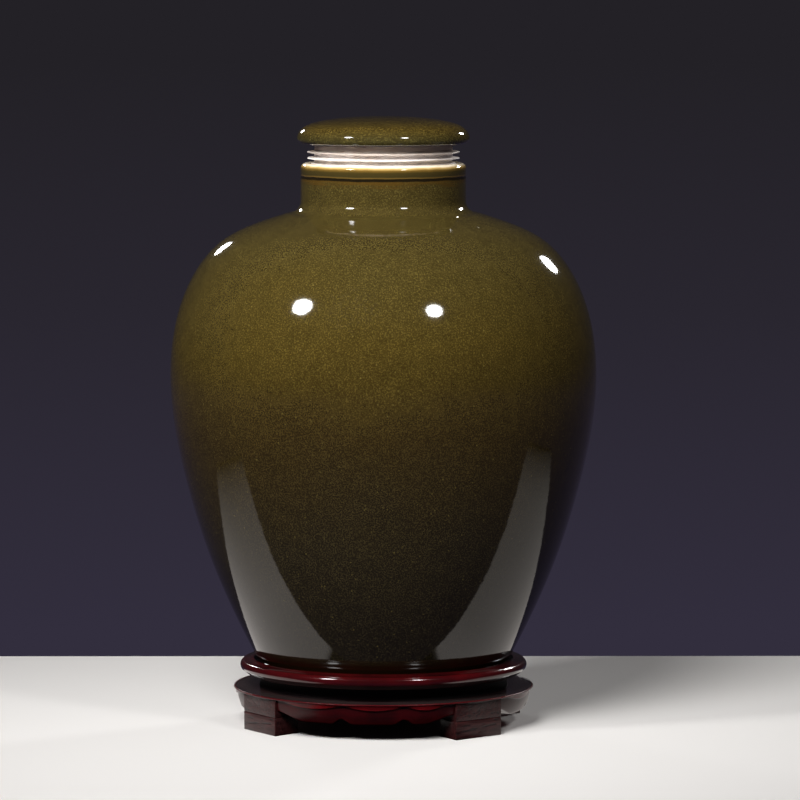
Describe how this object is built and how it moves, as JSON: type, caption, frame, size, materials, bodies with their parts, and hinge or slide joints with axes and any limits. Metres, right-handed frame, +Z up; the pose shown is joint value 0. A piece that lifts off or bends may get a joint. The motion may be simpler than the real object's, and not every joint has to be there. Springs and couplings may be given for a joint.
{
  "type": "lidded ginger jar on stand",
  "caption": "Tall shouldered ceramic storage jar with a domed stopper lid on a finned soft seal, standing on a round carved wooden stand with block feet.",
  "frame": {"origin": "on the jar's axis, in the plane of the stand's four feet (bottom centre)", "axes": "+Z up along the jar's axis, towards the lid; -Y is the front of the stand, +X the right-hand side seen from the front"},
  "size_m": [0.2904, 0.2904, 0.4145],
  "materials": {
    "jar_glaze": "glossy olive-brown speckled glaze over stoneware",
    "lid_glaze": "glossy olive speckled glaze over stoneware",
    "seal_rubber": "white, soft, satin",
    "stand_lacquer": "dark red gloss lacquer",
    "waist_lacquer": "near-black gloss lacquer",
    "foot_wood": "dull red-brown stain, end grain showing",
    "plain_wood": "bare",
    "screw_steel": "zinc plated"
  },
  "bodies": {
    "stand": {"top_ring": "stand_lacquer", "seat_panel": "plain_wood", "waist_ring": "waist_lacquer", "apron_ring": "stand_lacquer", "foot_front_left": "foot_wood", "foot_front_right": "foot_wood", "foot_back_right": "foot_wood", "foot_back_left": "foot_wood", "foot_dowels": "plain_wood", "ring_screws": "screw_steel"},
    "jar": {"jar_body": "jar_glaze"},
    "lid": {"lid": "lid_glaze", "lid_seal": "seal_rubber"}
  },
  "joints": [
    {"name": "jar_lift", "type": "slide", "parent": "stand", "child": "jar", "axis": [0, 0, 1], "range_m": [0, 0.06]},
    {"name": "lid_lift", "type": "slide", "parent": "jar", "child": "lid", "axis": [0, 0, 1], "range_m": [-0.012, 0.08], "deforming": ["lid_seal"]}
  ]
}
